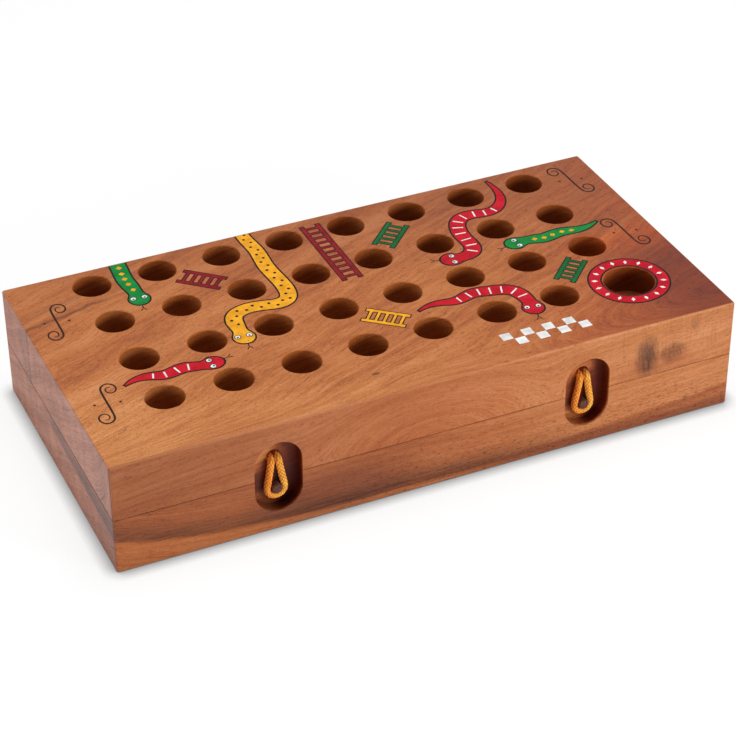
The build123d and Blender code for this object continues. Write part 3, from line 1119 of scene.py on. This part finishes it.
hinge_brass = brass_surface("hinge_brass", (0.66, 0.42, 0.16), 0.30)
screw_brass = brass_surface("screw_brass", (0.72, 0.50, 0.22), 0.16)
dowel = dowel_surface()
for hand in ("left", "right"):
    for part in ("hinge_lower_leaf", "hinge_lid_leaf", "hinge_pin"):
        dress(f"{hand}_{part}", hinge_brass)
    dress(f"{hand}_loop_peg", dowel)
for half in ("lower", "lid"):
    dress(f"{half}_hinge_screws", screw_brass)


# Pawns

# In millimetres: a base with softened edges and a groove, a waisted body and a ball
PAWN_SIDES = 72
BASE_RADIUS = 6.98
BASE_ROUND = 0.88
BASE_BOTTOM = 0.02
BASE_TOP = 12.96
HOLLOW_FOOT = [(0, 0.35), (3.4, 0.30), (4.4, 0.04), (5.9, 0)]
GROOVE = [(BASE_RADIUS, 5.8), (6.9, 6.02), (6.72, 6.2), (6.72, 6.5), (6.9, 6.7), (BASE_RADIUS, 6.9)]
BODY_BOTTOM = 12.97
BODY_HEIGHT = 7.9
BODY_STEPS = 14
BALL_RADIUS = 5.49
BALL_MIDDLE = 25.5
BALL_STEPS = 28
NECK_ANGLE = acos(-4.61 / 5.5)
PAWN_AXIS_Z = 22

# Place of each pawn as (x, y, turn in degrees), and its paint
PAWNS = {
    "red": ((-99, 22, 8), (0.48, 0.010, 0.014)),
    "yellow": ((-77, 12, -10), (0.86, 0.36, 0.020)),
    "green": ((-55, 26, 5), (0.008, 0.15, 0.030)),
    "blue": ((-33, 14, -6), (0.010, 0.055, 0.29)),
}


def paint_surface(name, colour):
    """Gloss paint over turned wood, rubbed through at the edges of the base."""
    shader = Shader(name)
    x, y, z = shader.parts
    peel = shader.noise(shader.parts, 1.6)
    cloud = shader.noise(shader.parts, 0.22)
    turning = shader.noise(z, 3.2, 2, 0.6)
    ragged = shader.noise(shader.parts, 0.9, 4, 0.7)
    radius = (x * x + y * y).math("SQRT")
    edge = larger(z.step(1.5, 0.2), z.step(11.6, 12.6) * z.step(13.6, 13.1))
    worn = radius.step(6.35, 6.9) * edge * ragged.step(0.53, 0.60)
    tone = shader.mix(cloud.scaled(0.35, 0.65, 0, 1), shade(colour, 0.78), shade(colour, 1.1, 0.003))
    return shader.finish({
        "Base Color": shader.mix(worn * 0.9, tone, (0.52, 0.30, 0.14)),
        "Roughness": cloud * 0.10 + worn * 0.35 + turning * 0.06 + 0.12,
        "Normal": shader.bump(peel * 0.6 + turning * 0.4 - worn * 0.5, 0.06, 0.6),
        "Coat Weight": 0.5,
        "Coat Roughness": 0.08,
    })


def softened(middle_height, start_angle):
    """A quarter round at the edge of the base, upwards from an angle in degrees."""
    angles = [radians(start_angle + 15 * i) for i in range(7)]
    middle = BASE_RADIUS - BASE_ROUND
    return [(middle + BASE_ROUND * cos(a), middle_height + BASE_ROUND * sin(a)) for a in angles]


def pawn_profile():
    """Radius and height along a pawn's outline, from its foot to the top of its head."""
    profile = HOLLOW_FOOT + softened(BASE_BOTTOM + BASE_ROUND, -90)
    profile += GROOVE + softened(BASE_TOP - BASE_ROUND, 0)
    for i in range(1, BODY_STEPS):
        share = i / BODY_STEPS
        radius = 3 + 2.32 * (1 - share) ** 2 + 0.14 * share * (1 - share)
        profile.append((radius, BODY_BOTTOM + BODY_HEIGHT * share))
    for i in range(BALL_STEPS + 1):
        angle = NECK_ANGLE * (1 - i / BALL_STEPS)
        profile.append((BALL_RADIUS * sin(angle), BALL_MIDDLE + BALL_RADIUS * cos(angle)))
    return profile


def make_pawn(paint, place, material):
    """A turned playing piece on its side."""
    x, y, turn = place
    foot, *rings, head = pawn_profile()
    points = []
    for radius, height in rings:
        points += [(px * MM, py * MM, height * MM) for px, py in around((0, 0), radius, PAWN_SIDES)]
    faces = tube_faces(len(rings), PAWN_SIDES)
    count = len(points)
    last = count - PAWN_SIDES
    for k in range(PAWN_SIDES):
        after = (k + 1) % PAWN_SIDES
        faces += [(count, after, k), (last + k, last + after, count + 1)]
    points += [(0, 0, height * MM) for height in (foot[1], head[1])]
    piece = mesh_piece(f"{paint}_turned_pawn", points, faces, material)
    turned = Matrix.Rotation(radians(turn), 4, "Z") @ Matrix.Rotation(radians(90), 4, "X")
    piece.matrix_world = Matrix.Translation(Vector((x, y, PAWN_AXIS_Z)) * MM) @ turned
    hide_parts(f"{paint}_pawn")
    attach(piece, "lower")


for paint, (place, colour) in PAWNS.items():
    make_pawn(paint, place, paint_surface(f"{paint}_gloss", colour))


# Die

DIE_HALF = 6
DIE_PLACE = (-11, -8)
DIE_TURN = radians(24)


def die_surface():
    """Pale varnished wood with black paint in the pips."""
    shader = Shader("die_wood")
    x, y, z = shader.parts
    low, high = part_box("die")
    east = x - DIE_PLACE[0]
    north = y - DIE_PLACE[1]
    a = east * cos(DIE_TURN) + north * sin(DIE_TURN)
    b = north * cos(DIE_TURN) - east * sin(DIE_TURN)
    c = z - (low.z + high.z) / 2 / MM
    sizes = [abs(part) for part in (a, b, c)]
    most = larger(*sizes)
    middle = sum(sizes) - most - smaller(*sizes)
    pip = most.step(DIE_HALF - 0.012, DIE_HALF - 0.05) * middle.step(4.5, 4.35)
    grain = shader.noise((a * 0.18, b, c), 1.3, 4, 0.6)
    colour = shader.ramp(grain, [(0.3, (0.50, 0.30, 0.14)), (0.7, (0.78, 0.56, 0.32))])
    return shader.finish({
        "Base Color": shader.mix(pip, colour, (0.015, 0.012, 0.012)),
        "Roughness": grain * 0.2 + 0.25,
        "Normal": shader.bump(grain, 0.05, 0.5),
    })


dress("die", die_surface())


# Floor and light

FLOOR_REACH = 4
FLOOR_Z = -0.12 * MM
FLOOR_WHITE = [(0, (0.90,) * 3), (1, (0.94,) * 3)]
FLOOR_GLOW = 0.82
FLOOR_SHADE = 0.78
CONTACT_REACH = 6 * MM
CONTACT_DEPTH = 1.2
WORLD_FILL = 0.26
UNDERSIDE_FILL = 0.5
UNDERSIDE_REACH = 13 * MM
HORIZON = 0.01

# Place in metres, size in metres and power in watts
LIGHTS = {
    "key": ((0.72, -1.02, 0.30), 0.36, 8.6),
    "top": ((0.10, 0.10, 1.30), 0.8, 10),
    "left": ((-1.30, 0.12, 0.40), 0.8, 5),
}


def make_floor():
    """White floor with a contact shadow painted in by ambient occlusion, clear from below, that lets soft
    light reach the underside.
    """
    shader = Shader("floor_white", roughness=0.9)
    direct = shader.rays("Camera", "Glossy")
    # Painted contact shadow: ambient occlusion darkens the floor's colour and glow near the box
    contact = shader.value("AmbientOcclusion", "AO", {"Distance": CONTACT_REACH}, samples=8)
    open_sky = contact.math("POWER", CONTACT_DEPTH)
    white = shader.ramp(shader.noise(shader.parts, 0.06), FLOOR_WHITE)
    shaded = shader.tint(direct, white, (1 - FLOOR_SHADE,) * 3)
    shader.finish({
        "Base Color": shader.tint(1, shaded, open_sky),
        "Specular IOR Level": 0,
        "Emission Color": (1, 1, 1),
        "Emission Strength": direct * open_sky * FLOOR_GLOW,
    })
    short = shader.value("LightPath", "Ray Length").math("LESS_THAN", UNDERSIDE_REACH)
    under = short * shader.rays("Diffuse")
    seen_through = larger(shader.value("NewGeometry", "Backfacing"), under)
    clear = shader.add("BsdfTransparent").outputs[0]
    both = shader.add("MixShader", {0: seen_through, 1: shader.surface.outputs[0], 2: clear})
    shader.feed(shader.tree.nodes["Material Output"].inputs["Surface"], both.outputs[0])
    corners = [(x * FLOOR_REACH, y * FLOOR_REACH, FLOOR_Z) for x, y in CORNERS]
    mesh_piece("floor", corners, [(0, 1, 2, 3)], shader.material, smooth=False)


def make_world():
    """Soft fill that the camera and reflections see as white."""
    world = bpy.context.scene.world = bpy.data.worlds.new("world")
    world.use_nodes = True
    sky = Nodes(world.node_tree)
    back = sky.tree.nodes["Background"]
    direct = sky.rays("Camera", "Glossy", "Transmission")
    direction = sky.add("TexCoord").outputs["Generated"]
    height = sky.value("SeparateXYZ", "Z", {0: direction})
    fill = height.scaled(-HORIZON, HORIZON, UNDERSIDE_FILL, WORLD_FILL)
    sky.feed(back.inputs["Color"], (1, 1, 1))
    sky.feed(back.inputs["Strength"], direct.scaled(0, 1, fill, 1))


def area_light(name, place, size, power):
    """A square soft light that points at the box."""
    data = bpy.data.lights.new(name, "AREA")
    data.size = size
    data.energy = power
    light = new_object(name, data)
    light.location = place
    aim = Vector((0, 0, BOX_HEIGHT / 2))
    light.rotation_euler = (aim - Vector(place)).to_track_quat("-Z", "Y").to_euler()


make_floor()
make_world()
for name, light in LIGHTS.items():
    area_light(name, *light)
bpy.context.scene.view_settings.view_transform = "Standard"
